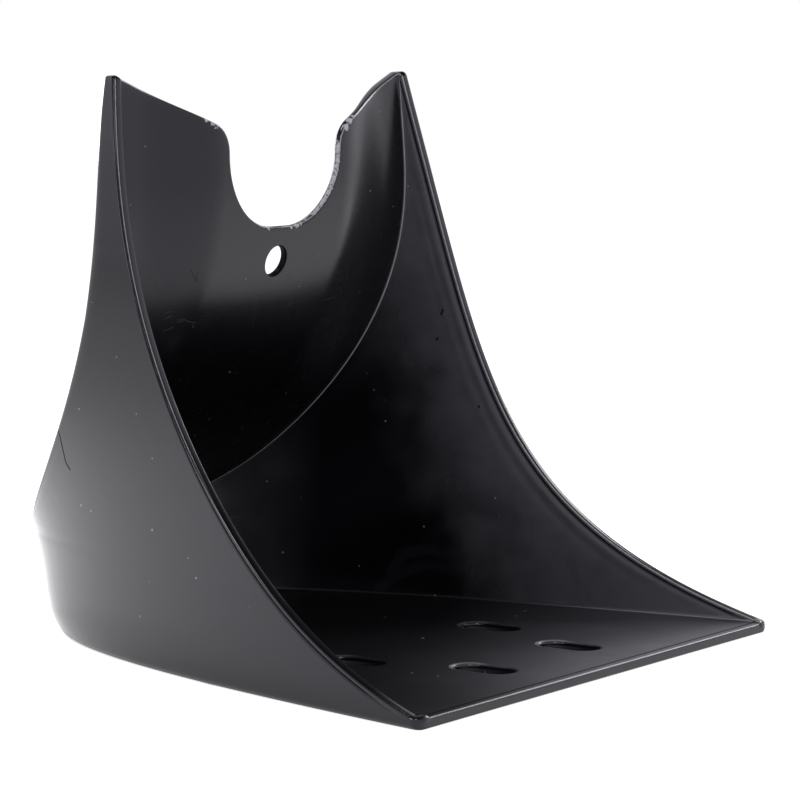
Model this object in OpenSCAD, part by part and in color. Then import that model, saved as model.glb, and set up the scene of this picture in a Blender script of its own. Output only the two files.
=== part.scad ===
// Front spoiler: a one-piece moulded scoop that sits behind the front wheel
// of a motorbike. Flat floor, two swept side walls, a recessed front panel
// with a notch and a bolt hole at the top. Millimetres, Z up, Y forward,
// X to the rider's right. The floor's underside lies at Z = 0, and the origin
// is the middle of the footprint. Depths below are measured forward from the
// open rear edge.

/* [Outline] */

// Half of the floor's width at the open rear edge
half_width = 136.7; // [126:0.1:148]
// Length of the floor's outline from the rear edge to the nose
floor_length = 272.8; // [262:0.2:284]
// Bluntness of the plan outline, 2 is a parabola, more is squarer
plan_power = 3.12; // [2.6:0.02:3.6]

/* [Material] */

// Thickness of the side walls
wall = 4; // [3:0.1:5]
// Thickness of the floor
floor_t = 4.5; // [4:0.1:6]
// Thickness of the front panel
panel_t = 3.5; // [3:0.1:5]
// Radius of the outer edge under the floor
edge_r = 2; // [1:0.1:3]

/* [Side walls] */

// How far the wall moves forward at its fullest height
sweep_y = 74.8; // [66:0.2:82]
// Height at which the wall stands furthest forward
sweep_z = 158.4; // [150:0.2:168]
// Extra roundness of the chin just above the floor
chin_y = 9.2; // [5:0.1:11]
// Height of the roundest part of the chin
chin_z = 18.7; // [14:0.1:24]
// How much each wall draws in at mid height
waist = 7.2; // [4:0.1:10]

/* [Rim] */

// Reach of the rim curve, larger sets the tips further forward
rim_reach = 269.4; // [262:0.2:272]
// Height scale of the rim curve
rim_rise = 49.2; // [46:0.2:56]

/* [Front panel] */

// Inner face of the panel's middle, measured from the rear edge
panel_y = 170.8; // [166:0.2:174]
// Forward run of the panel's middle down to the nose
panel_run = 112; // [106:0.5:118]
// Height where the panel's middle starts to run forward
panel_z = 225; // [216:1:232]
// Inner face of the panel's flanks at the top
flank_y = 183.3; // [181:0.1:188]
// Forward run of the flanks
flank_run = 92; // [87:0.5:97]
// Height where the flanks start to run forward
flank_z = 215; // [208:1:222]
// Half of the width of the flat middle
middle_x = 42; // [38:0.5:46]
// Half of the width at which the flanks are reached
flank_x = 88; // [82:0.5:94]
// Softness of the outer ridge between wall and panel
ridge_k = 9; // [6:0.5:11]

/* [Top edge and notch] */

// Height of the two tips
tip_z = 254.5; // [248:0.5:260]
// Slope of the top edge down to the notch, in degrees
top_slope = 21.8; // [16:0.2:26]
// Radius of the tips
tip_r = 4; // [2:0.5:6]
// Radius of the notch
notch_r = 33.2; // [30:0.2:37]
// Flat length at the bottom of the notch
notch_flat = 12; // [8:0.5:16]
// Height of the bottom of the notch
notch_z = 185; // [181:0.5:189]
// Radius of the shoulders of the notch
shoulder_r = 14; // [9:0.5:16]

/* [Bolt hole] */

// Diameter of the bolt hole in the panel
hole_d = 14; // [10:0.5:16]
// Height of the bolt hole
hole_z = 169.5; // [164:0.5:172]

/* [Floor slots] */

// Width of each floor slot
slot_w = 15; // [12:0.5:18]
// Length of each floor slot
slot_l = 29; // [26:0.5:32]
// Distance of the rear slots from the middle line
rear_slot_x = 32.7; // [27:0.1:38]
// Distance of the rear slots from the rear edge
rear_slot_y = 40.5; // [34:0.5:48]
// Distance of the front slots from the middle line
front_slot_x = 51; // [45:0.5:58]
// Distance of the front slots from the rear edge
front_slot_y = 95; // [86:0.5:102]

/* [Rear corners] */

// Radius of the two rear floor corners
corner_r = 4; // [2:0.5:7]

/* [Hidden] */

// powers of the curves that the waist, the panel and the rim follow
waist_power = 0.8;
panel_power = 2.47;
flank_power = 2.257;
rim_power = 0.6376;
top_z = tip_z + 7;
valley_k = 1.5;
valley_r = 2.5;

// forward shift of the plan outline at height z
function shift(z) =
    sweep_y * pow(sin(90 * z / sweep_z), 2)
    + chin_y * (z / chin_z) * exp(1 - z / chin_z);
// half width of the outline at height z
function half_w(z) =
    half_width - waist * sin(180 * pow(z / (tip_z + 1.5), waist_power));

// inner face of the panel
function middle(z) = panel_y + panel_run * pow(max(panel_z - z, 0) / 180, panel_power);
function flank(z) = flank_y + flank_run * pow(max(flank_z - z, 0) / 170, flank_power);
function ease(x) =
    let (t = max(0, min(1, (abs(x) - middle_x) / (flank_x - middle_x))))
    t * t * (3 - 2 * t);
function panel_in(x, z) = middle(z) + (flank(z) - middle(z)) * ease(x);
// the panel keeps its thickness where it leans
function fall(z) = (middle(z - 1) - middle(z + 1)) / 2;
function lean(z) = sqrt(1 + fall(z) * fall(z));
function panel(x, z, side) = panel_in(x, z) + side * panel_t * lean(z);

// rim of the wall: its distance from the rear edge at height z
function rim_y(z) =
    let (h = max(z - floor_t, 0))
    min(rim_reach * (1 - pow(1 + h / rim_rise, -rim_power)) - 0.0139 * h,
        panel_in(110, z) - 2);

// a point of the wall at parameter w (1 rear, 0 nose), moved in by t
function slope_y(w) = floor_length * plan_power * pow(w, plan_power - 1);
function wall_x(w, z, t) =
    half_w(z) * w - t * slope_y(w) / norm([slope_y(w), half_w(z)]);
function wall_y(w, z, t) =
    floor_length * (1 - pow(w, plan_power)) + shift(z)
    - t * half_w(z) / norm([slope_y(w), half_w(z)]);

// halving search for the rim and for the ridge
function find_rim(z, t, a = 0, b = 1, n = 22) =
    n == 0 ? (a + b) / 2 :
    let (m = (a + b) / 2)
    wall_y(m, z, t) > rim_y(z) ? find_rim(z, t, m, b, n - 1)
                               : find_rim(z, t, a, m, n - 1);
function find_ridge(z, t, side, a = 0, b = 1, n = 22) =
    n == 0 ? (a + b) / 2 :
    let (m = (a + b) / 2)
    wall_y(m, z, t) > panel(wall_x(m, z, t), z, side)
        ? find_ridge(z, t, side, m, b, n - 1)
        : find_ridge(z, t, side, a, m, n - 1);
// height at which the panel meets the nose
function find_nose(a = floor_t + 8, b = 90, n = 20) =
    n == 0 ? (a + b) / 2 :
    let (m = (a + b) / 2)
    wall_y(0, m, 0) < panel(0, m, 1) ? find_nose(m, b, n - 1)
                                     : find_nose(a, m, n - 1);
nose_z = find_nose();

// smooth minimum of wall and panel
function soft_min(a, b, k) =
    let (h = max(k - abs(a - b), 0) / k) min(a, b) - h * h * k / 4;

side_n = 14;
panel_n = 9;
nose_w = 0.22;

// parameters of one half section, rim to middle
function stations(z, t, side, k) =
    let (r = find_rim(z, t),
         j = max(find_ridge(z, t, side), nose_w),
         d = min(k / (slope_y(j) + 0.4 * half_w(z)), 0.45 * (r - j), 0.3 * j))
    concat([for (i = [0:side_n]) r + (j + d - r) * pow(i / side_n, 1.4)],
           [for (c = [0.5, 0, -0.5]) j + c * d],
           [for (i = [0:panel_n]) (j - d) * (1 - i / panel_n)]);
function half_section(z, t, side, k) =
    let (ws = stations(z, t, side, k))
    [for (i = [0:len(ws) - 1])
        let (x = wall_x(ws[i], z, t))
        [x,
         let (y = soft_min(wall_y(ws[i], z, t), panel(x, z, side), k))
         i == 0 ? rim_y(z) : i <= side_n ? max(y, rim_y(z) + 0.03 * i) : y,
         z]];
function section(z, t, side, k) =
    let (h = half_section(z, t, side, k), n = len(h))
    concat(h, [for (i = [n - 2:-1:0]) [-h[i][0], h[i][1], z]]);

// levels: [height, how far the surface is moved in]
low_levels = [[0, edge_r], [edge_r * 0.13, edge_r * 0.5], [edge_r * 0.5, edge_r * 0.13],
              [edge_r, 0]];
wall_heights = concat(
    [for (i = [1:6]) floor_t + valley_r + (nose_z - floor_t - valley_r) * pow(i / 6, 1.2)],
    [for (i = [1:22]) nose_z + (top_z - nose_z) * pow(i / 22, 1.3)]);
outer_levels = concat(low_levels,
    [[floor_t, 0], [floor_t + valley_r * 0.3, 0], [floor_t + valley_r, 0]],
    [for (z = wall_heights) [z, 0]]);
inner_levels = concat(
    [[floor_t, wall + valley_r], [floor_t + valley_r * 0.3, wall + valley_r * 0.3],
     [floor_t + valley_r, wall]],
    [for (z = wall_heights) [z, wall]]);

outer_rows = [for (l = outer_levels) section(l[0], l[1], 1, ridge_k)];
inner_rows = [for (l = inner_levels) section(l[0], l[1], 0, valley_k)];
cols = len(outer_rows[0]);
mid = (cols - 1) / 2;
outer_n = len(outer_rows);
inner_n = len(inner_rows);
low_n = len(low_levels);

front_y = max([for (r = outer_rows) r[mid][1]]);

function outer_id(k, j) = k * cols + j;
function inner_id(k, j) = outer_n * cols + k * cols + j;
function flat_rows(rows) = [for (r = rows) for (p = r) p];

module skin() {
    outer_faces = [for (k = [0:outer_n - 2]) for (j = [0:cols - 2])
        let (a = outer_id(k, j), b = outer_id(k, j + 1),
             c = outer_id(k + 1, j + 1), d = outer_id(k + 1, j))
        each (j < mid ? [[a, d, c], [a, c, b]] : [[a, d, b], [b, d, c]])];
    inner_faces = [for (k = [0:inner_n - 2]) for (j = [0:cols - 2])
        let (a = inner_id(k, j), b = inner_id(k, j + 1),
             c = inner_id(k + 1, j + 1), d = inner_id(k + 1, j))
        each (j < mid ? [[a, c, d], [a, b, c]] : [[a, b, d], [b, c, d]])];
    rim_faces = [for (k = [0:inner_n - 2])
        let (l = cols - 1, o = k + low_n)
        each [[inner_id(k, 0), inner_id(k + 1, 0), outer_id(o + 1, 0), outer_id(o, 0)],
              [outer_id(o, l), outer_id(o + 1, l), inner_id(k + 1, l), inner_id(k, l)]]];
    top_faces = [for (j = [0:cols - 2])
        [outer_id(outer_n - 1, j), inner_id(inner_n - 1, j),
         inner_id(inner_n - 1, j + 1), outer_id(outer_n - 1, j + 1)]];
    rear_face = concat(
        [for (k = [0:low_n]) outer_id(k, cols - 1)],
        [inner_id(0, cols - 1), inner_id(0, 0)],
        [for (k = [low_n:-1:0]) outer_id(k, 0)]);
    under_face = [for (j = [0:cols - 1]) outer_id(0, j)];
    floor_face = [for (j = [cols - 1:-1:0]) inner_id(0, j)];
    polyhedron(
        points = concat(flat_rows(outer_rows), flat_rows(inner_rows)),
        faces = concat(outer_faces, inner_faces, rim_faces, top_faces,
                       [rear_face, under_face, floor_face]),
        convexity = 10);
}

// front view of what is cut away at the top
top_s = tan(top_slope);
top_n = sqrt(1 + top_s * top_s);
tip_x = wall_x(find_rim(tip_z - tip_r, 0), tip_z - tip_r, 0);
function top_line(x) = tip_z - top_s * (tip_x - x);
notch_x = notch_flat / 2 + notch_r;
shoulder_x = notch_x + shoulder_r;
shoulder_z = top_line(shoulder_x) - shoulder_r * top_n;
tip_cx = tip_x - tip_r;
tip_cz = top_line(tip_cx) - tip_r * top_n;

module round_corner(cx, cz, r, out_x) {
    tx = cx - r * top_s / top_n;
    tz = cz + r / top_n;
    difference() {
        polygon(out_x < cx
            ? [[out_x, cz], [cx, cz], [tx, tz], [tx, tz + 6], [out_x, tz + 6]]
            : [[cx, cz], [out_x, cz], [out_x, tz + 12], [tx, tz + 12], [tx, tz]]);
        translate([cx, cz]) circle(r, $fn = 48);
    }
}
module top_profile() {
    polygon([[0, top_line(0)], [160, top_line(160)], [160, 330], [0, 330]]);
    translate([notch_flat / 2, notch_z + notch_r]) circle(notch_r, $fn = 96);
    translate([0, notch_z]) square([notch_flat / 2, notch_r]);
    translate([0, notch_z + notch_r]) square([notch_x, 60]);
    round_corner(shoulder_x, shoulder_z, shoulder_r, notch_x - 3);
    round_corner(tip_cx, tip_cz, tip_r, tip_x + 12);
}
module top_cut() {
    translate([0, 320, 0]) rotate([90, 0, 0]) linear_extrude(height = 220) {
        top_profile();
        mirror([1, 0, 0]) top_profile();
    }
}

// the bolt hole stands square to the leaning panel
module bolt_hole() {
    translate([0, panel(0, hole_z, 0.5), hole_z]) rotate([atan(fall(hole_z)) - 90, 0, 0])
        cylinder(h = 40, r = hole_d / 2, center = true, $fn = 64);
}

module floor_slot(x, y) {
    run = slot_l - slot_w;
    for (s = [-1, 1]) translate([x, y + s * run / 2, -2])
        cylinder(h = floor_t + 4, r = slot_w / 2, $fn = 48);
    translate([x - slot_w / 2, y - run / 2, -2]) cube([slot_w, run, floor_t + 4]);
}

module rear_corner() {
    cx = wall_x(pow(1 - corner_r / floor_length, 1 / plan_power), 0, 0) - corner_r;
    translate([0, 0, -2]) linear_extrude(height = floor_t + 12) difference() {
        translate([cx, -2]) square([corner_r + 6, corner_r + 2]);
        translate([cx, corner_r]) circle(corner_r, $fn = 48);
    }
}

module shell() {
    color("#1b1c1e") translate([0, -front_y / 2, 0]) difference() {
        skin();
        top_cut();
        bolt_hole();
        for (s = [-1, 1]) {
            floor_slot(s * rear_slot_x, rear_slot_y);
            floor_slot(s * front_slot_x, front_slot_y);
        }
        rear_corner();
        mirror([1, 0, 0]) rear_corner();
    }
}

shell();
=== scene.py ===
"""Front spoiler of a motorbike: looks of the one-piece moulded shell.

The shell is made again here as one dense closed mesh from the same curves as
the CAD part, with rounded edges, and replaces the plain CAD node. Lengths in
the curves are millimetres, measured forward from the open rear edge; the mesh
is moved to the frame's metres at the end.
"""

import math

import bmesh
import bpy
import numpy as np
from mathutils import Matrix, Vector


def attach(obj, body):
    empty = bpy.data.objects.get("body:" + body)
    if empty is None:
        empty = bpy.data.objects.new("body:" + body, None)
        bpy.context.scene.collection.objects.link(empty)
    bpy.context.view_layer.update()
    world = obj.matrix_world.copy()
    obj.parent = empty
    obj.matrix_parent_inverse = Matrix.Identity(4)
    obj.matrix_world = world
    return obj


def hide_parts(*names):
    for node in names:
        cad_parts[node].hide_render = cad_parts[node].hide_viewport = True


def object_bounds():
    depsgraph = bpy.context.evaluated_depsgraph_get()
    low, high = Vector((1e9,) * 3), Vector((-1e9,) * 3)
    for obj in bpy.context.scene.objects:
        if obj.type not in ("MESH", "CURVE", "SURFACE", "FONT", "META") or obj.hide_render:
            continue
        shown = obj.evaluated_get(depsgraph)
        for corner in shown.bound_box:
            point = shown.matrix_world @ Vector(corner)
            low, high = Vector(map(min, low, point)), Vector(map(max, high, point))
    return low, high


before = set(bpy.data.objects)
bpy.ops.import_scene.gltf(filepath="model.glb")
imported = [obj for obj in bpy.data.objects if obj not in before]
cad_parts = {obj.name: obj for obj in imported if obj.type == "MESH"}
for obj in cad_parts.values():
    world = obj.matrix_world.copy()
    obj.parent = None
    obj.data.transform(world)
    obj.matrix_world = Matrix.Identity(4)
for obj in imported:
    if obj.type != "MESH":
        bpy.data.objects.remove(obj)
cad_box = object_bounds()

# ---------------------------------------------------------------- the curves

HALF_WIDTH, FLOOR_LENGTH, PLAN_POWER = 136.7, 272.8, 3.12
WALL, FLOOR_T, PANEL_T = 4.0, 4.5, 3.5
SWEEP_Y, SWEEP_Z, CHIN_Y, CHIN_Z, WAIST = 74.8, 158.4, 9.2, 18.7, 7.2
WAIST_POWER = 0.8
RIM_REACH, RIM_RISE, RIM_POWER = 269.4, 49.2, 0.6376
RIM_LEAN = 0.0139    # the rim runs back by this much per millimetre of height
RIM_GAP = 2.0        # the rim stays this far behind the panel's flank
PANEL_Y, PANEL_RUN, PANEL_Z, PANEL_POWER = 170.8, 112.0, 225.0, 2.47
FLANK_Y, FLANK_RUN, FLANK_Z, FLANK_POWER = 183.3, 92.0, 215.0, 2.257
MIDDLE_X, FLANK_X = 42.0, 88.0
FOLD_X, CREASE_X = 48.0, 110.0
TIP_Z, TOP_SLOPE, TIP_X = 254.5, math.tan(math.radians(21.8)), 105.0
NOTCH_R, NOTCH_FLAT, NOTCH_Z, SHOULDER_R = 33.2, 12.0, 185.0, 14.0
HOLE_R, HOLE_Z = 7.0, 169.5
SLOT_R, SLOT_RUN = 7.5, 14.0
SLOTS = ((32.7, 40.5), (51.0, 95.0))
FRONT_Y = -2000 * float(cad_box[0][1])     # depth of the footprint

EDGE = 1.25          # rounding of every free edge of the shell
UNDER_R = 2.6        # rounding below the walls
TIP_GAIN = 2.4       # the shell is this much thicker at the two tips
VALLEY_R = 1.2       # fillet between floor and walls
VALLEY_K = 2.4       # rounding of the inner fold
CORNER_R = 4.0       # rear corners, seen from above
FAR = 40.0           # distance from the rim that counts as well away from it


def shift(z):
    """How far the plan outline moves forward at height z."""
    return (SWEEP_Y * np.sin(np.pi / 2 * z / SWEEP_Z) ** 2
            + CHIN_Y * (z / CHIN_Z) * np.exp(1 - z / CHIN_Z))


def half_w(z):
    return HALF_WIDTH - WAIST * np.sin(np.pi * (z / (TIP_Z + 1.5)) ** WAIST_POWER)


def middle(z):
    return PANEL_Y + PANEL_RUN * (np.maximum(PANEL_Z - z, 0) / 180) ** PANEL_POWER


def flank(z):
    return FLANK_Y + FLANK_RUN * (np.maximum(FLANK_Z - z, 0) / 170) ** FLANK_POWER


def panel(x, z, side):
    """Face of the front panel: side 0 is the hollow's, side 1 the outer one."""
    t = np.clip((np.abs(x) - MIDDLE_X) / (FLANK_X - MIDDLE_X), 0, 1)
    fold = np.clip((np.abs(x) - FOLD_X) / (CREASE_X - FOLD_X), -0.06, 1.06)
    fold = np.where(fold < 0.06, (fold + 0.06) ** 2 / 0.24, fold)
    ease = 0.6 * t * t * (3 - 2 * t) + 0.4 * np.minimum(fold, 1)
    inner = middle(z) + (flank(z) - middle(z)) * ease
    fall = (middle(z - 1) - middle(z + 1)) / 2
    tip = TIP_GAIN * np.clip((z - 150) / 90, 0, 1) * np.clip((np.abs(x) - 60) / 28, 0, 1)
    return inner + side * (PANEL_T * np.sqrt(1 + fall ** 2) + tip)


def rim_y(z):
    h = np.maximum(z - FLOOR_T, 0)   # height above the floor
    curve = RIM_REACH * (1 - (1 + h / RIM_RISE) ** -RIM_POWER) - RIM_LEAN * h
    return np.minimum(curve, panel(CREASE_X, z, 0) - RIM_GAP)


def rim_line(z):
    """Rim moved in by the rounding, at right angles to itself."""
    slope = np.where(z < FLOOR_T + 0.5, RIM_REACH * RIM_POWER / RIM_RISE,
                     rim_y(z + 0.5) - rim_y(z - 0.5))
    start = RIM_REACH * RIM_POWER / RIM_RISE * np.minimum(z - FLOOR_T, 0)
    return np.maximum(rim_y(z) + start + EDGE * np.hypot(1, slope), EDGE)


def wall_point(w, z, t):
    """Wall at parameter w (1 at the rear, 0 at the nose), moved in by t."""
    slope = FLOOR_LENGTH * PLAN_POWER * w ** (PLAN_POWER - 1)
    wide = half_w(z)
    norm = np.hypot(slope, wide)
    return (wide * w - t * slope / norm,
            FLOOR_LENGTH * (1 - w ** PLAN_POWER) + shift(z) - t * wide / norm)


def ridge_k(z):
    """Rounding of the outer fold: wide below, close to the tips narrow."""
    return 9.0 - 6.8 * np.clip((z - 150) / 85, 0, 1)


def valley_k(z):
    return np.full_like(z, VALLEY_K)


def halve(test, shape):
    """Largest w from 0 to 1 at which test(w) still holds."""
    low, high = np.zeros(shape), np.ones(shape)
    for _ in range(40):
        mid = (low + high) / 2
        good = test(mid)
        low, high = np.where(good, mid, low), np.where(good, high, mid)
    return (low + high) / 2


def soft_min(a, b, k):
    h = np.maximum(k - np.abs(a - b), 0) / k
    return np.minimum(a, b) - h * h * k / 4


# ------------------------------------------------------------ the two skins

NEAR_STEPS = np.array([0, .3, .6, .9, 1.2, 1.6, 2.2, 3.0, 4.0, 5.2, 6.6, 8.2, 10])
CREASE_STEPS = np.array([.75, .5, .25, 0, -.25, -.5, -.75, -1])
PANEL_N = 60
SIDE_N = 68
HALF_N = SIDE_N + len(CREASE_STEPS) + PANEL_N - 1    # index of the middle column
BASE_Z = 150.0       # above it the rows spread to follow the top edge
UPPER_N = 36
LEAST_W = 0.22       # the fold between wall and panel never comes nearer to the middle


def columns_at(z, t, side, k):
    """Parameters w of one half's columns, for heights z of shape (HALF_N + 1, rows)."""
    w = np.zeros_like(z)

    def ridge_of(zz, tt):
        def inside(m):
            x, y = wall_point(m, zz, tt)
            return y > panel(x, zz, side)
        return np.maximum(halve(inside, zz.shape), LEAST_W)

    def crease_of(zz, ridge, rim):
        """Half the breadth of the fold, in w."""
        slope = FLOOR_LENGTH * PLAN_POWER * ridge ** (PLAN_POWER - 1)
        wide = k(zz) / (slope + 0.4 * half_w(zz))
        return np.minimum(np.minimum(wide, 0.45 * (rim - ridge)), 0.3 * ridge)

    ridge = ridge_of(z, t)
    start = rim_line(z)
    rim = halve(lambda m: wall_point(m, z, t)[1] > start, z.shape)
    d = crease_of(z, ridge, rim)
    # the first columns keep their distance from the rim, the others share the rest
    near = len(NEAR_STEPS)
    depth = wall_point(ridge + d, z, t)[1] - start
    lean = (start - rim_y(z)) / EDGE
    step = np.minimum(NEAR_STEPS[:, None] * np.clip(lean[:near], 1, 4),
                      depth[:near] * (np.arange(near) / (near - 1))[:, None] * 0.3)
    goal = start[:near] + step
    w[:near] = halve(lambda m: wall_point(m, z[:near], t[:near])[1] > goal, goal.shape)
    share = (np.arange(1, SIDE_N - near + 1) / (SIDE_N - near))[:, None]
    n = slice(near, SIDE_N)
    w[n] = w[near - 1] + (ridge[n] + d[n] - w[near - 1]) * share
    c = slice(SIDE_N, SIDE_N + len(CREASE_STEPS))
    w[c] = ridge[c] + d[c] * CREASE_STEPS[:, None]
    p = slice(SIDE_N + len(CREASE_STEPS), HALF_N + 1)
    share = np.arange(1, PANEL_N + 1) / PANEL_N
    w[p] = (ridge[p] - d[p]) * (1 - share)[:, None]
    return w


def top_curve(start):
    """Top edge from the crease to the middle, moved in by the edge rounding."""
    n = math.hypot(1, TOP_SLOPE)
    shoulder_x = NOTCH_FLAT / 2 + NOTCH_R + SHOULDER_R
    line = lambda x: TIP_Z - TOP_SLOPE * (TIP_X - x)
    shoulder_z = line(shoulder_x) - SHOULDER_R * n
    r = SHOULDER_R - EDGE
    a = np.linspace(math.atan2(1, -TOP_SLOPE), math.pi, 24)
    b = np.linspace(0, -math.pi / 2, 90)
    points = [np.array([start]),
              np.stack([shoulder_x + r * np.cos(a), shoulder_z + r * np.sin(a)], 1),
              np.stack([NOTCH_FLAT / 2 + (NOTCH_R + EDGE) * np.cos(b),
                        NOTCH_Z + NOTCH_R + (NOTCH_R + EDGE) * np.sin(b)], 1),
              np.array([[0, NOTCH_Z - EDGE]])]
    points = np.concatenate(points)
    far = np.concatenate([[0], np.cumsum(np.hypot(*np.diff(points, axis=0).T))])
    share = np.arange(1, PANEL_N + 1) / PANEL_N * far[-1]
    return np.stack([np.interp(share, far, points[:, 0]),
                     np.interp(share, far, points[:, 1])], 1)


def top_of(t, side, k, drop):
    """Height of the top edge for every column, and how far x is moved there."""
    n = math.hypot(1, TOP_SLOPE)
    z = np.full((HALF_N + 1, 1), 240.0)
    tt = np.full_like(z, t)
    for _ in range(25):
        x = wall_point(columns_at(z, tt, side, k), z, tt)[0]
        z = TIP_Z - TOP_SLOPE * (TIP_X - np.minimum(x, TIP_X)) - EDGE * n - drop
    first = SIDE_N + len(CREASE_STEPS)
    z = z[:, 0]
    x = x[:, 0]
    edge = top_curve((x[first - 1], z[first - 1]))
    move = np.zeros(HALF_N + 1)
    z[first:] = edge[:, 1]
    zz = z[:, None]
    x, y = wall_point(columns_at(zz, tt, side, k), zz, tt)
    move[first:] = edge[:, 0] - x[first:, 0]
    # the tip is rounded towards the rim
    d = np.minimum(y[:, 0] - y[0, 0], EDGE)
    z[:first] -= (EDGE - np.sqrt(EDGE ** 2 - (EDGE - d[:first]) ** 2))
    return z, move


def bump(d, centre, width):
    return np.exp(-((d - centre) / width) ** 2)


def groove_at(z):
    """Distance of the fine outer groove from the rim: nearer to it further up."""
    return 2.55 - 0.8 * np.clip((z - 60) / 70, 0, 1)


def swell(w, x, y, z, side):
    """Bead along the rim, and the slight ripples that the mould left beside it."""
    slope = FLOOR_LENGTH * PLAN_POWER * w ** (PLAN_POWER - 1)
    norm = np.hypot(slope, half_w(z))
    lean = np.clip((rim_line(z) - rim_y(z)) / EDGE, 1, 4)
    d = (y - rim_y(z)) / lean
    room = np.clip((y[SIDE_N - 1] - y[0]) / 25, 0, 1) * np.clip((z - 8) / 20, 0, 1)
    if side:
        out = 0.22 * bump(d, 0.9, 1.2) - 0.42 * bump(d, groove_at(z), 0.38)
        out = out * np.clip((z - 3) / 6, 0, 1)
    else:
        out = -0.30 * bump(d, 0.9, 1.3) + 0.30 * bump(d, 2.9, 0.7)
        out -= room * (0.22 * bump(d, 5.6, 1.3) - 0.10 * bump(d, 8.2, 1.4)
                       + 0.14 * bump(d, 12.5 - 0.02 * z, 2.2))
    out = out * np.clip((y[SIDE_N - 1] - y) / 3, 0, 1)
    out[SIDE_N:] = 0
    return x + out * slope / norm, y + out * half_w(z) / norm, np.clip(d, 0, FAR)


def skin(t, side, k, rows, drop):
    """Points of one skin, by column and row, and how far they lie from the rim."""
    top, move = top_of(t, side, k, drop)
    low = np.array(rows)
    up = np.arange(1, UPPER_N + 1) / UPPER_N
    z = np.concatenate([np.repeat(low[None, :, 0], HALF_N + 1, 0),
                        BASE_Z + (top - BASE_Z)[:, None] * up[None]], 1)
    tt = np.concatenate([np.repeat(low[None, :, 1], HALF_N + 1, 0),
                         np.full((HALF_N + 1, UPPER_N), t)], 1)
    s = np.concatenate([np.zeros(len(low)), up ** 2.5])
    w = columns_at(z, tt, side, k)
    x = wall_point(w, z, tt)[0] + move[:, None] * s[None]
    x[-1] = 0
    w = np.where(move[:, None] * s[None] != 0,
                 halve(lambda m: wall_point(m, z, tt)[0] < x, z.shape), w)
    y = soft_min(wall_point(w, z, tt)[1], panel(x, z, side), k(z))
    y[0] = rim_line(z[0])
    x, y, from_rim = swell(w, x, y, z, side)
    half = np.stack([x, y, z], 2)
    other = half[-2::-1] * np.array([-1, 1, 1])
    return np.concatenate([half, other]), np.concatenate([from_rim, from_rim[-2::-1]])


def smooth_levels(start, stop, n, power):
    return start + (stop - start) * (np.arange(1, n + 1) / n) ** power


arc = np.radians(np.linspace(0, 90, 6))
outer_low = [(UNDER_R * (1 - math.cos(a)), UNDER_R * (1 - math.sin(a))) for a in arc]
valley = [(FLOOR_T + VALLEY_R * (1 - math.cos(a)), WALL + VALLEY_R * (1 - math.sin(a)))
          for a in arc]
levels = smooth_levels(FLOOR_T + VALLEY_R, BASE_Z, 48, 1.25)
outer_rows = (outer_low + [(z, 0) for z in (3.1, 3.56, 3.8, 4.05, 4.28, FLOOR_T)]
              + [(z, 0) for z, _ in valley[1:]] + [(z, 0) for z in levels])
inner_rows = valley + [(z, WALL) for z in levels]
FOOT = len(outer_low) + 5        # outer row that stands beside the inner foot

OUTER_DROP, INNER_DROP = 0.6, 0.2     # how far each skin ends below the edge line

outer, outer_far = skin(0.0, 1, ridge_k, outer_rows, OUTER_DROP)
inner, inner_far = skin(WALL, 0, valley_k, inner_rows, INNER_DROP)
on_panel = np.zeros((2 * HALF_N + 1, 1))
on_panel[SIDE_N + 4:2 * HALF_N - SIDE_N - 3] = 1
# the inner folds and the fillet round the floor are marked as crease, for the painted highlight
# there
in_crease = np.zeros(inner.shape[:2])
for column in (SIDE_N + 3, 2 * HALF_N - SIDE_N - 3):
    in_crease[column - 1:column + 2] = np.array([[0.45], [1.0], [0.45]])
in_crease[:, 1:4] = np.maximum(in_crease[:, 1:4], [0.5, 1.0, 0.5])


# --------------------------------------------------------------- the meshing

# what every vertex carries for the material
MARKS = ("hollow", "panel", "from_rim", "crease")


def lay_grid(bm, points, hollow, panel=0.0, from_rim=0.0, drop=None, crease=0.0):
    """A grid moved to points[a, b]. Its vertices carry whether they lie on the hollow's
    side, on the front panel and in a crease, and their distance from the rim. The
    vertices inside the block drop of columns and rows are taken out."""
    n, m = points.shape[:2]
    marks = [(bm.verts.layers.float[name], np.broadcast_to(value, (n, m)))
             for name, value in zip(MARKS, (hollow, panel, from_rim, crease))]
    made = bmesh.ops.create_grid(bm, x_segments=n - 1, y_segments=m - 1, size=1)["verts"]
    cut = []
    for v in made:
        a, b = round((v.co.x + 1) / 2 * (n - 1)), round((v.co.y + 1) / 2 * (m - 1))
        v.co = Vector(points[a, b])
        for layer, value in marks:
            v[layer] = float(value[a, b])
        if drop and drop[0] < a < drop[1] and drop[2] < b < drop[3]:
            cut.append(v)
    bmesh.ops.delete(bm, geom=cut, context="VERTS")


def unit(v):
    return v / np.maximum(np.linalg.norm(v, axis=-1, keepdims=True), 1e-12)


def edge_strip(out_line, in_line, outward, r, n=5):
    """Rounded edge from the outer skin's line to the inner skin's line."""
    across = unit(in_line - out_line)
    a = np.radians(np.linspace(0, 90, n + 1))
    first = [out_line + r * across * (1 - math.cos(v)) + r * outward * math.sin(v) for v in a]
    last = [in_line - r * across * (1 - math.cos(v)) + r * outward * math.sin(v)
            for v in a[::-1]]
    return np.stack(first + last, 1)


def close_line(line):
    return np.concatenate([line, line[:1]])


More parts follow.
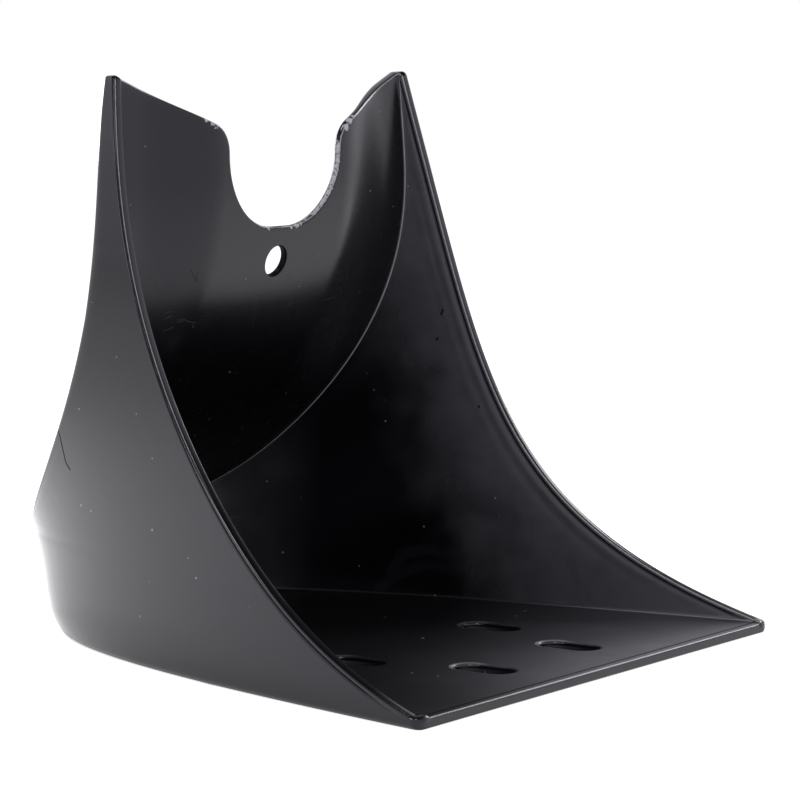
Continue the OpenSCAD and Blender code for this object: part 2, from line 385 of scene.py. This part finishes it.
# the border of the shell: up one rim, along the top, down the other, rear edge
REAR_N = 60
last = outer.shape[0] - 1
foot_x = inner[0, 0, 0]
o_foot = outer[0, 0]
tuck = np.linspace(2.2, 0, FOOT + 1)[:-1]        # inner points beside the lower outer rows
in_corner = np.stack([foot_x - tuck, outer[0, :FOOT, 1], np.full(FOOT, FLOOR_T)], 1)
mirror = np.array([-1, 1, 1])
rear = np.linspace(-1, 1, REAR_N + 1)[1:-1]
rear_out = np.stack([rear * o_foot[0], np.full(REAR_N - 1, EDGE), np.zeros(REAR_N - 1)], 1)
rear_in = np.stack([rear * in_corner[0, 0], np.full(REAR_N - 1, EDGE),
                    np.full(REAR_N - 1, FLOOR_T)], 1)
out_line = np.concatenate([outer[0, :FOOT], outer[0, FOOT:], outer[1:-1, -1],
                           outer[last, FOOT:][::-1], outer[last, :FOOT][::-1], rear_out])
in_line = np.concatenate([in_corner, inner[0], inner[1:-1, -1],
                          inner[last][::-1], (in_corner * mirror)[::-1], rear_in])
middle_line = (out_line + in_line) / 2
along = unit(np.roll(middle_line, -1, 0) - np.roll(middle_line, 1, 0))
outward = unit(np.cross(along, unit(in_line - out_line)))
border = edge_strip(close_line(out_line), close_line(in_line), close_line(outward), EDGE)
border_panel = np.zeros((len(border), 1))
border_far = np.zeros((len(border), 1))
rows = outer.shape[1]
border_panel[rows:rows + last - 1] = on_panel[1:-1]
border_far[rows:rows + last - 1, 0] = np.minimum(outer_far[1:-1, -1], 20)

# the bolt hole: a block of both skins is taken out and laid again round the bore
lean = math.atan(float(middle(HOLE_Z - 1) - middle(HOLE_Z + 1)) / 2)
BORE = np.array([0, math.cos(lean), math.sin(lean)])
UP = np.array([0, -math.sin(lean), math.cos(lean)])
CENTRE = np.array([0, float(panel(0.0, HOLE_Z, 0.5)), HOLE_Z])
HOLE_EDGE = 0.7


def on_skin(x, z, side):
    return np.stack([x, panel(x, z, side), z], -1)


def bore_line(angle, r, side):
    p = (CENTRE + r * (np.cos(angle)[:, None] * np.array([1., 0, 0])
                       + np.sin(angle)[:, None] * UP))
    for _ in range(12):
        p = p - (p[:, 1] - panel(p[:, 0], p[:, 2], side))[:, None] * BORE * math.cos(lean)
    return p


BLOCK_ROWS, BLOCK_REACH = 22, 11.5     # the block of skin round the hole
NOT_HERE = 99.0                        # keeps the search off the wall's columns


def block_of(points):
    """First column, first row and last row of the block of skin round the hole."""
    row = points[HALF_N, :, 2]
    k0 = int(np.argmin(np.abs(row - (HOLE_Z - BLOCK_REACH))))
    k1 = k0 + BLOCK_ROWS
    c = int(np.argmin(np.abs(points[:HALF_N, (k0 + k1) // 2, 0] - BLOCK_REACH)
                      + NOT_HERE * (np.arange(HALF_N) < SIDE_N)))
    return c, k0, k1


outer_c, outer_k0, outer_k1 = block_of(outer)
inner_c, inner_k0, inner_k1 = block_of(inner)
near_c = max(outer_c, inner_c)
outer_block = (near_c, 2 * HALF_N - near_c, outer_k0, outer_k1)
inner_block = (near_c, 2 * HALF_N - near_c, inner_k0, inner_k1)


def hole_patch(points, block, side):
    """Skin between the block's border and the edge of the bolt hole."""
    c0, c1, k0, k1 = block
    ring = np.concatenate([points[c0:c1, k0], points[c1, k0:k1],
                           points[c1:c0:-1, k1], points[c0, k1:k0:-1]])
    angle = np.arctan2(ring[:, 2] - HOLE_Z, ring[:, 0])
    circle = bore_line(angle if side else bore_angle, HOLE_R + HOLE_EDGE, side)
    steps = []
    for s in np.linspace(0, 1, 8):
        x = ring[:, 0] + (circle[:, 0] - ring[:, 0]) * s
        z = ring[:, 2] + (circle[:, 2] - ring[:, 2]) * s
        steps.append(on_skin(x, z, side))
    steps[0], steps[-1] = ring, circle
    return np.stack(steps, 1), angle


outer_patch, bore_angle = hole_patch(outer, outer_block, 1)
inner_patch, _ = hole_patch(inner, inner_block, 0)


def slot_line(x, y, r, z, n=32):
    """An oblong loop round a floor slot."""
    a = np.concatenate([np.linspace(0, math.pi, n), np.linspace(math.pi, 2 * math.pi, n)])
    lift = np.concatenate([np.full(n, SLOT_RUN / 2), np.full(n, -SLOT_RUN / 2)])
    loop = np.stack([x + r * np.cos(a), y + r * np.sin(a) + lift, np.full(2 * n, z)], 1)
    return loop, np.stack([-np.cos(a), -np.sin(a), np.zeros(2 * n)], 1)


SLOT_EDGE, HOLD = 1.5, 0.7


def slot_strip(x, y):
    low, towards = slot_line(x, y, SLOT_R + SLOT_EDGE, 0.0)
    high, _ = slot_line(x, y, SLOT_R + SLOT_EDGE, FLOOR_T)
    body = edge_strip(low, high, towards, SLOT_EDGE)
    out_low, _ = slot_line(x, y, SLOT_R + SLOT_EDGE + HOLD, 0.0)
    out_high, _ = slot_line(x, y, SLOT_R + SLOT_EDGE + HOLD, FLOOR_T)
    return close_line(np.concatenate([out_low[:, None], body, out_high[:, None]], 1))


def build_shell():
    bm = bmesh.new()
    for name in MARKS:
        bm.verts.layers.float.new(name)
    n = outer.shape[0] - 1
    c0, c1, k0, k1 = inner_block
    lay_grid(bm, outer, 0, on_panel, outer_far, outer_block)
    lay_grid(bm, inner[::-1], 1, on_panel, inner_far[::-1], (n - c1, n - c0, k0, k1),
             in_crease)
    lay_grid(bm, border, np.linspace(0, 1, border.shape[1]), border_panel, border_far)
    lay_grid(bm, close_line(outer_patch), 0, 1, FAR)
    lay_grid(bm, close_line(inner_patch), 1, 1, FAR)
    towards = -(np.cos(bore_angle)[:, None] * np.array([1., 0, 0])
                + np.sin(bore_angle)[:, None] * UP)
    wall = edge_strip(outer_patch[:, -1], inner_patch[:, -1], towards, HOLE_EDGE, 4)
    lay_grid(bm, close_line(wall), np.linspace(0, 1, wall.shape[1]), 1, FAR)
    for x, y in SLOTS:
        for s in (-1, 1):
            strip = slot_strip(s * x, y)
            # the slot's front end is marked as panel, which keeps the painted shade off its
            # wall, and as crease, which gets the painted highlight
            front_end = np.clip((strip[:, :, 1] - y - 3) / 7, 0, 1)
            front_end[:, [0, -1]] = 0        # the flat floor beside it carries no mark
            lay_grid(bm, strip, np.linspace(0, 1, strip.shape[1]), front_end, FAR,
                     crease=front_end)
    bmesh.ops.remove_doubles(bm, verts=bm.verts, dist=1e-3)

    # the two flat faces of the floor, with a narrow strip that keeps them flat
    for level in (0.0, FLOOR_T):
        free = [e for e in bm.edges if e.is_boundary
                and all(abs(v.co.z - level) < 1e-4 for v in e.verts)]
        rim = [e for e in free if any(near_outline(v) for v in e.verts)]
        hold = bmesh.ops.extrude_edge_only(bm, edges=rim)["geom"]
        moved = [g for g in hold if isinstance(g, bmesh.types.BMVert)]
        fresh = [g for g in hold if isinstance(g, bmesh.types.BMEdge) and g.is_boundary]
        inset(moved, fresh)
        bmesh.ops.triangle_fill(
            bm, use_beauty=True, use_dissolve=False, normal=(0, 0, 1),
            edges=[e for e in bm.edges if e.is_boundary
                   and all(abs(v.co.z - level) < 1e-4 for v in e.verts)])
    bmesh.ops.recalc_face_normals(bm, faces=bm.faces)
    # rear corners are rounded in plan, then the mesh goes to the frame's metres
    for v in bm.verts:
        near = min(max((abs(v.co.x) - (HALF_WIDTH - 12)) / 10, 0), 1)
        gap = min(max(CORNER_R - v.co.y, 0), CORNER_R)
        v.co.x -= math.copysign(near * (CORNER_R - math.sqrt(CORNER_R ** 2 - gap ** 2)), v.co.x)
        v.co = Vector((v.co.x, v.co.y - FRONT_Y / 2, v.co.z)) / 1000
    mesh = bpy.data.meshes.new("shell_mesh")
    bm.to_mesh(mesh)
    bm.free()
    for p in mesh.polygons:
        p.use_smooth = True
    shell = bpy.data.objects.new("moulded_shell", mesh)
    bpy.context.scene.collection.objects.link(shell)
    return shell


def near_outline(v):
    """True for a vertex of the floor's outline, False for one of a slot."""
    def gap(x, y):
        return math.hypot(abs(v.co.x) - x, max(abs(v.co.y - y) - SLOT_RUN / 2, 0))
    return all(gap(x, y) >= SLOT_R + 3 for x, y in SLOTS)


def inset(verts, edges):
    """Moves the new loop of a flat face inwards."""
    centre = Vector((0, 120, 0))
    push = {v: Vector() for v in verts}
    for e in edges:
        a, b = e.verts
        side = Vector((b.co.y - a.co.y, a.co.x - b.co.x, 0))
        if side.length == 0:
            continue
        side.normalize()
        if side.dot(centre - (a.co + b.co) / 2) < 0:
            side = -side
        for v in (a, b):
            if v in push:
                push[v] += side
    for v, p in push.items():
        if p.length > 0:
            v.co += p.normalized() * HOLD


shell = build_shell()
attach(shell, "root")
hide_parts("shell")

# ------------------------------------------------------------- the material


class Tone:
    """A socket of a material that can be calculated with."""

    def __init__(self, tree, socket=None):
        self.tree, self.socket = tree, socket

    def node(self, kind, settings=None, inputs=None, out=0):
        """Adds a node: its settings first, then the values or links of its sockets."""
        made = self.tree.nodes.new(kind)
        for name, value in (settings or {}).items():
            setattr(made, name, value)
        for name, value in (inputs or {}).items():
            if isinstance(value, Tone):
                self.tree.links.new(value.socket, made.inputs[name])
            else:
                made.inputs[name].default_value = value
        return Tone(self.tree, made.outputs[out])

    def math(self, operation, *values):
        return self.node("ShaderNodeMath", {"operation": operation}, dict(enumerate(values)))

    def vector(self, operation, *values, out=0):
        return self.node("ShaderNodeVectorMath", {"operation": operation},
                         dict(enumerate(values)), out)

    def __add__(self, other):
        return self.math("ADD", self, other)

    def __sub__(self, other):
        return self.math("SUBTRACT", self, other)

    def __rsub__(self, other):
        return self.math("SUBTRACT", other, self)

    def __mul__(self, other):
        return self.math("MULTIPLY", self, other)

    def __truediv__(self, other):
        return self.math("DIVIDE", self, other)

    __radd__, __rmul__ = __add__, __mul__

    def step(self, low, high):
        """0 below low, 1 above high, smooth between; falling where low > high."""
        a, b, start, stop = (low, high, 0.0, 1.0) if low < high else (high, low, 1.0, 0.0)
        return self.node("ShaderNodeMapRange", {"interpolation_type": "SMOOTHSTEP"},
                         {"Value": self, "From Min": a, "From Max": b,
                          "To Min": start, "To Max": stop})

    def most(self, other):
        return self.math("MAXIMUM", self, other)

    def least(self, other):
        return self.math("MINIMUM", self, other)

    def noise(self, scale, detail=3.0, roughness=0.5, distortion=0.0):
        """Cloudy values about 0.5; self is the place."""
        return self.node("ShaderNodeTexNoise", {"noise_dimensions": "3D"},
                         {"Vector": self, "Scale": scale, "Detail": detail,
                          "Roughness": roughness, "Distortion": distortion})

    def blend(self, low, high):
        """Colour low where self is 0 and high where it is 1."""
        low, high = (v if isinstance(v, Tone) else (*v, 1) for v in (low, high))
        return self.node("ShaderNodeMix", {"data_type": "RGBA"}, {0: self, 6: low, 7: high}, 2)


def stroke(flat, points, width):
    """1 on a drawn line through the points, 0 beyond its width; millimetres."""
    nearest = None
    for a, b in zip(points[:-1], points[1:]):
        a, b = Vector((*a, 0)), Vector((*b, 0))
        run = b - a
        from_a = flat.vector("SUBTRACT", flat, a)
        along = flat.vector("DOT_PRODUCT", from_a, run / run.length_squared, out=1)
        along = along.most(0.0).least(1.0)
        foot = flat.node("ShaderNodeVectorMath", {"operation": "SCALE"},
                         {0: tuple(run), "Scale": along})
        far = flat.vector("DISTANCE", from_a, foot, out=1)
        nearest = far if nearest is None else nearest.least(far)
    return nearest.step(width, width * 0.4)


def strokes(flat, lines):
    """Drawn lines together, each of its own strength."""
    drawn = None
    for points, width, strength in lines:
        line = stroke(flat, points, width) * strength
        drawn = line if drawn is None else drawn.most(line)
    return drawn


def band(value, middle, half):
    """1 where value is at middle, 0 where it is half away."""
    away = value.math("ABSOLUTE", value - middle)
    return away.step(half, half * 0.35)


# worn places, in millimetres of the model: chips of the notch edge, specks, scratches
CHIPS = (((-53.5, 172.5, 233.4), 1.6), ((-50.5, 172.3, 231.8), 1.9),
         ((-48.4, 172.0, 230.0), 1.4),
         ((-13.0, 173.5, 185.6), 1.3), ((-9.5, 173.5, 185.0), 1.6), ((-6.5, 173.6, 184.6), 1.2),
         ((7.0, 173.6, 184.6), 1.3), ((10.9, 173.5, 184.9), 1.9), ((14.0, 173.4, 185.9), 1.5),
         ((44.5, 171.2, 228.2), 2.2), ((47.6, 171.6, 231.6), 2.4), ((51.0, 172.4, 234.0), 2.0))
SPECKS = (((-105.2, 161.4, 61.5), .7), ((-110.8, 132.8, 44.4), .6), ((-91.2, 213.8, 66.1), .7),
          ((-93.4, 206.2, 64.4), .6), ((78.2, 200.8, 4.5), .8), ((42.4, 147.8, 4.5), .7),
          ((9.4, 102.6, 4.5), .8), ((93.5, 104.8, 4.5), .8), ((80.0, 100.7, 4.5), .7),
          ((-59.0, 59.0, 4.5), .7), ((-57.9, 46.4, 4.5), .6))
# drawn lines: points, half their breadth, strength; on the panel by x and z,
# on the walls by y and z
PANEL_SCRATCHES = (
    (((-65.1, 148.2), (-63.7, 149.7), (-60.9, 150.0)), .28, .8),
    (((-63.7, 146.8), (-60.7, 148.2)), .45, 1.),
    (((-56.9, 146.0), (-52.9, 146.2), (-50.1, 144.9), (-44.9, 143.9)), .28, .8),
    (((-56.0, 145.0), (-53.1, 145.5)), .4, .9),
    (((-46.3, 142.8), (-45.8, 142.2)), .6, .9),
    (((-61.6, 141.3), (-57.6, 142.7)), .35, .7),
    (((-56.7, 168.2), (-52.2, 162.7), (-52.9, 167.1)), .4, .9),
    (((45.9, 148.3), (53.0, 149.0), (59.3, 152.1), (61.6, 158.0), (60.8, 163.8)), .3, .4),
    (((48.0, 169.3), (43.2, 166.3)), .3, .4))
WALL_SMEARS = (
    (((182.0, 15.0), (176.0, 24.5), (163.0, 27.5), (152.0, 24.0)), 4.0, .13),
    (((187.0, 8.0), (176.0, 16.0), (164.0, 20.0), (150.0, 18.5)), 3.5, .12),
    (((143.5, 5.5), (143.7, 12.0)), 4.5, .20),
    (((132.5, 7.0), (132.0, 14.0)), 4.0, .18),
    (((109.3, 59.6), (92.6, 40.0), (72.0, 25.8), (44.1, 8.2)), 1.4, .30))
# painted shade along a fading crease of the outer wall, and short dark ticks on the inner wall;
# points by y and z
CREASE_SHADE_LINE = ((225.5, 99.4), (223.3, 95.6), (222.4, 89.8), (221.5, 84.1), (219.0, 81.5))
TICKS = (((163.5, 140.5), (164.3, 138.5)), ((165.4, 127.2), (165.9, 126.4)),
         ((142.2, 96.2), (142.2, 95.6)))


def gloss_black():
    mat = bpy.data.materials.new("gloss_black_plastic")
    mat.use_nodes = True
    tree = mat.node_tree
    shader = tree.nodes["Principled BSDF"]
    start = Tone(tree)
    place = start.node("ShaderNodeTexCoord", out="Object")
    place = start.vector("MULTIPLY_ADD", place, (1000,) * 3, (0, FRONT_Y / 2, 0))
    x, y, z = (start.node("ShaderNodeSeparateXYZ", None, {0: place}, n) for n in range(3))
    hollow, panel, from_rim, crease = (
        start.node("ShaderNodeAttribute", {"attribute_name": name}, out=2) for name in MARKS)
    inside = hollow.step(0.55, 0.95)
    floor = inside * z.step(6.5, 5.0)
    side = inside * (1 - panel) * (1 - floor)
    clouds = place.noise(0.03, 2.0, 0.6)
    mottle = place.noise(0.09, 3.0, 0.6, 0.6)
    grain = place.noise(1.6, 1.0, 0.5)
    flecks = place.noise(0.55, 2.0, 0.7)
    free_edge = from_rim.step(0.6, 0.2).most(z.step(180.5, 182.5))
    by_panel = start.node("ShaderNodeCombineXYZ", None, {0: x, 1: z})
    by_wall = start.node("ShaderNodeCombineXYZ", None, {0: y, 1: z})
    outside = 1 - inside

    # a pale film lies on the open half of the side walls and thins out forwards: partly dust and
    # smears, partly painted light where the walls open to the rear and painted shade deeper in
    # the hollow
    edge = y - z * 0.42 - 123 + (clouds - 0.5) * 55 + (mottle - 0.5) * 10
    dust_and_painted_light = edge.step(34.0, -32.0) * (0.6 + mottle * 0.8)
    deep = y.step(214.0, 245.0) * z.step(110.0, 60.0) * clouds * 0.6
    smears = strokes(by_wall, WALL_SMEARS) * x.step(0.0, 1.0) * (0.5 + flecks)
    dusty = side * dust_and_painted_light.most(deep)
    dust_and_painted_light = side * dust_and_painted_light.most(deep).most(smears * 0.8)
    # painted light on the floor: paler where it opens to the rear and round a place near the
    # rear edge
    open_floor = (y - x * 0.5).step(110.0, -20.0) * x.step(-110.0, 60.0)
    floor_light_near_rear = place.vector("DISTANCE", place, (-17.0, 12.0, FLOOR_T), out=1).step(95.0, 5.0)
    dust_and_painted_light = dust_and_painted_light + floor * (open_floor * 0.7 + floor_light_near_rear * 0.5) * (0.5 + clouds)

    # painted highlight: pale lines in the inner folds, on the fillet round the floor and at the
    # slots' front ends; and the edges scuffed pale, partly wear and partly painted highlight
    above_floor = z.step(8.0, 12.0).most(y.step(150.0, 30.0) * 0.6)
    crease_highlight = inside * crease.step(0.25, 0.9) * above_floor
    # the bright line, partly wear and partly a painted highlight: inner edge on the right rim
    # and low down, else the outer edge
    inner_edge = x.step(-1.0, 1.0).most(z.step(105.0, 75.0))
    outer_edge = 1 - inner_edge
    scuff_and_highlight = band(hollow, 0.80, 0.10) * inner_edge + band(hollow, 0.24, 0.07) * outer_edge * 0.7
    scuff_and_highlight = free_edge * scuff_and_highlight * (0.35 + flecks * 0.9)
    notch_far = start.math("SQRT", (x - NOTCH_FLAT / 2) * (x - NOTCH_FLAT / 2)
                           + (z - NOTCH_Z - NOTCH_R) * (z - NOTCH_Z - NOTCH_R)) - NOTCH_R
    high = y.step(160.0, 164.0)
    worn = high * hollow.step(0.3, 0.6) * x.step(10.0, 18.0) * z.step(232.0, 226.0)
    worn = worn * (notch_far - (flecks - 0.5) * 4.0).step(0.6, 0.1)
    chips = None
    for where, r in CHIPS:
        spot = (r - 0.3 - place.vector("DISTANCE", place, where, out=1)
                + (flecks - 0.5) * 4.0).step(0.0, 0.5)
        chips = spot if chips is None else chips.most(spot)
    chips = chips * hollow.step(0.35, 0.6) * high
    cells = start.node("ShaderNodeTexVoronoi", {"feature": "F1"},
                       {"Vector": place, "Scale": 0.12})
    lucky = Tone(tree, cells.socket.node.outputs["Color"])
    lucky = start.node("ShaderNodeSeparateColor", None, {0: lucky}, 0)
    specks = cells.step(0.065, 0.03) * lucky.step(0.6, 0.65)
    for where, r in SPECKS:
        specks = specks.most(place.vector("DISTANCE", place, where, out=1).step(r, r * 0.6))
    pale = chips.most(worn * 0.8).most(specks * 0.5)
    marks = strokes(by_panel, PANEL_SCRATCHES) * panel * inside

    base = dust_and_painted_light.blend((0.0012, 0.0012, 0.0018), (0.056, 0.056, 0.065))
    base = crease_highlight.blend(base, (0.30, 0.30, 0.32))
    base = scuff_and_highlight.blend(base, (0.33, 0.33, 0.35))
    base = (marks * 0.35).blend(base, (0.10, 0.10, 0.11))
    base = pale.blend(base, (0.42, 0.42, 0.45))
    tree.links.new(base.socket, shader.inputs["Base Color"])

    rough = 0.14 + inside * panel * 0.12 + side * 0.04 + dusty * 0.24 + floor * 0.26
    rough = rough + (mottle - 0.5) * 0.08 + (grain - 0.5) * 0.03 + marks * 0.3 + pale * 0.4
    tree.links.new(rough.socket, shader.inputs["Roughness"])

    relief = (grain - 0.5) * (outside * 0.008) + (mottle - 0.5) * (side * 0.08 + outside * 0.05)
    dent = start.node("ShaderNodeBump", None,
                      {"Strength": 1.0, "Distance": 0.001, "Height": relief})
    tree.links.new(dent.socket, shader.inputs["Normal"])

    # painted shade: a matte near-black mixed in on the grooves beside the rim, the rim's face
    # low down, the walls of the slots and the bolt hole, and the crease line of the outer wall;
    # the scratches on the panel and the short ticks are darkened with the same mix
    away_from_rim = from_rim.step(30.0, 35.0)
    cut_wall = hollow.step(0.05, 0.15) * away_from_rim
    slot_wall = cut_wall * hollow.step(0.80, 0.62) * (1 - panel) * z.step(10.0, 8.0)
    bore_wall = cut_wall * hollow.step(0.97, 0.85) * z.step(100.0, 110.0)
    climb = ((z - 60) / 70).most(0.0).least(1.0)
    groove = outside * (1 - panel) * band(from_rim + climb * 0.8, 2.55, 0.6) * z.step(6.0, 14.0)
    upper_line = free_edge * band(hollow, 0.07, 0.08) * outer_edge * z.step(236.0, 210.0)
    groove = groove.most(upper_line)
    groove = groove.most(inside * band(from_rim, 1.95, 0.5) * (1 - panel) * z.step(6.5, 7.5))
    groove = groove.most(floor * band(y, 4.0, 1.0) * 0.8)
    rim_face = hollow.step(0.10, 0.18) * hollow.step(0.72, 0.60) * from_rim.step(0.6, 0.2)
    rim_face = rim_face * z.step(5.0, 14.0) * z.step(120.0, 70.0)
    rim_face = rim_face * (1 - x.step(-1.0, 1.0) * 0.5)
    # painted shade along the crease of the outer wall, with the ticks on the inner wall
    crease_shade_and_ticks = stroke(by_wall, CREASE_SHADE_LINE, 0.6) * outside * (1 - panel) * x.step(1.0, 0.0)
    for tick in TICKS:
        crease_shade_and_ticks = crease_shade_and_ticks.most(stroke(by_wall, tick, 0.7) * side * x.step(0.0, 1.0))
    painted_shade_and_scratches = slot_wall.most(bore_wall * 0.95).most(groove * 0.95).most(rim_face * 0.95)
    painted_shade_and_scratches = painted_shade_and_scratches.most(crease_shade_and_ticks * 0.9).most(marks * 0.5)
    dull = start.node("ShaderNodeBsdfPrincipled", None,
                      {"Base Color": (0.002, 0.002, 0.003, 1), "Roughness": 0.8,
                       "Specular IOR Level": 0.05})
    both = start.node("ShaderNodeMixShader", None, {0: painted_shade_and_scratches, 1: Tone(tree, shader.outputs[0]),
                                                    2: dull})
    tree.links.new(both.socket, tree.nodes["Material Output"].inputs["Surface"])
    shader.inputs["Specular Tint"].default_value = (0.92, 0.905, 1.0, 1)
    shader.inputs["IOR"].default_value = 1.5
    return mat


shell.data.materials.append(gloss_black())

# ------------------------------------------------------- floor, light, camera

scene = bpy.context.scene
scene.view_settings.view_transform = "Standard"


def white_floor():
    bm = bmesh.new()
    bmesh.ops.create_grid(bm, x_segments=2, y_segments=2, size=4)
    mesh = bpy.data.meshes.new("floor_mesh")
    bm.to_mesh(mesh)
    bm.free()
    floor = bpy.data.objects.new("floor", mesh)
    scene.collection.objects.link(floor)
    mat = bpy.data.materials.new("white_floor")
    mat.use_nodes = True
    p = mat.node_tree.nodes["Principled BSDF"]
    p.inputs["Base Color"].default_value = (0.9, 0.9, 0.9, 1)
    p.inputs["Roughness"].default_value = 1.0
    p.inputs["Specular IOR Level"].default_value = 0.0
    p.inputs["Emission Color"].default_value = (1, 1, 1, 1)
    start = Tone(mat.node_tree)
    camera_ray = start.node("ShaderNodeLightPath", out="Is Camera Ray")
    # painted shadow: the floor gives no glow in a patch below the part, so that its slots stay
    # dark
    place = start.node("ShaderNodeTexCoord", out="Object")
    x, y = (start.node("ShaderNodeSeparateXYZ", None, {0: place}, n) for n in range(2))
    below = x.math("ABSOLUTE", x).step(0.115, 0.10)
    below = below * y.math("ABSOLUTE", y + 0.075).step(0.065, 0.055)
    glow = (0.34 + camera_ray * 0.4) * (1 - below)
    mat.node_tree.links.new(glow.socket, p.inputs["Emission Strength"])
    floor.data.materials.append(mat)


white_floor()


def studio_world():
    """White down to the floor and dark overhead, as a tent of cloth round the table."""
    world = bpy.data.worlds.new("studio")
    scene.world = world
    world.use_nodes = True
    tree = world.node_tree
    start = Tone(tree)
    way = start.node("ShaderNodeTexCoord", out="Generated")
    height = start.node("ShaderNodeSeparateXYZ", None, {0: way}, 2)
    camera_ray, glossy_ray, clear_ray = (
        start.node("ShaderNodeLightPath", out=name)
        for name in ("Is Camera Ray", "Is Glossy Ray", "Is Transmission Ray"))
    seen = camera_ray.most(glossy_ray).most(clear_ray)
    tent = height.step(0.75, 0.30) * 0.85 + 0.15
    level = (seen * tent + (1 - seen) * 0.5).most(camera_ray)
    back = tree.nodes["Background"]
    paint = camera_ray.blend((0.955, 0.945, 1.0), (1.0, 1.0, 1.0))
    tree.links.new(paint.socket, back.inputs["Color"])
    tree.links.new(level.socket, back.inputs["Strength"])


studio_world()


def softbox(name, place, target, size, radiance):
    """A square lamp of the given radiance, turned to the target; metres."""
    light = bpy.data.lights.new(name, "AREA")
    light.shape, light.size = "SQUARE", size
    light.energy = radiance * math.pi * size ** 2
    lamp = bpy.data.objects.new(name, light)
    scene.collection.objects.link(lamp)
    away = Vector(place) - Vector(target)
    turn = away.to_track_quat("Z", "Y").to_matrix().to_4x4()
    lamp.matrix_world = Matrix.Translation(place) @ turn
    lamp.visible_camera = False


# name, place, target, size and radiance
SOFTBOXES = (
    ("key_box", (-0.86, -0.80, 1.09), (0, 0, 0.1), 0.35, 9.0),
    ("top_box", (-0.21, 0.46, 1.09), (0, 0, 0.0), 0.3, 6.0),
    ("left_box", (-1.55, 0.41, 0.53), (0, 0, 0.1), 0.5, 8.0),
    ("right_box", (1.4, -0.2, 0.87), (0, 0, 0.1), 0.5, 8.0),
    ("front_box", (0.0, 0.32, 0.26), (-0.03, 0.2, 0.0), 0.18, 11.0))
for box in SOFTBOXES:
    softbox(*box)

cam = bpy.data.cameras.new("camera")
cam.lens, cam.sensor_width, cam.sensor_fit = 148.5, 36, "HORIZONTAL"
camera = bpy.data.objects.new("camera", cam)
scene.collection.objects.link(camera)
forward = Vector((0.8028, 0.5862, -0.1090)).normalized()
right = Vector((0.5897, -0.8076, 0)).normalized()
up = right.cross(forward)
turn = Matrix((right, up, -forward)).transposed().to_4x4()
camera.matrix_world = Matrix.Translation((-1.1598, -0.7386 - FRONT_Y / 2000, 0.2684)) @ turn
scene.camera = camera
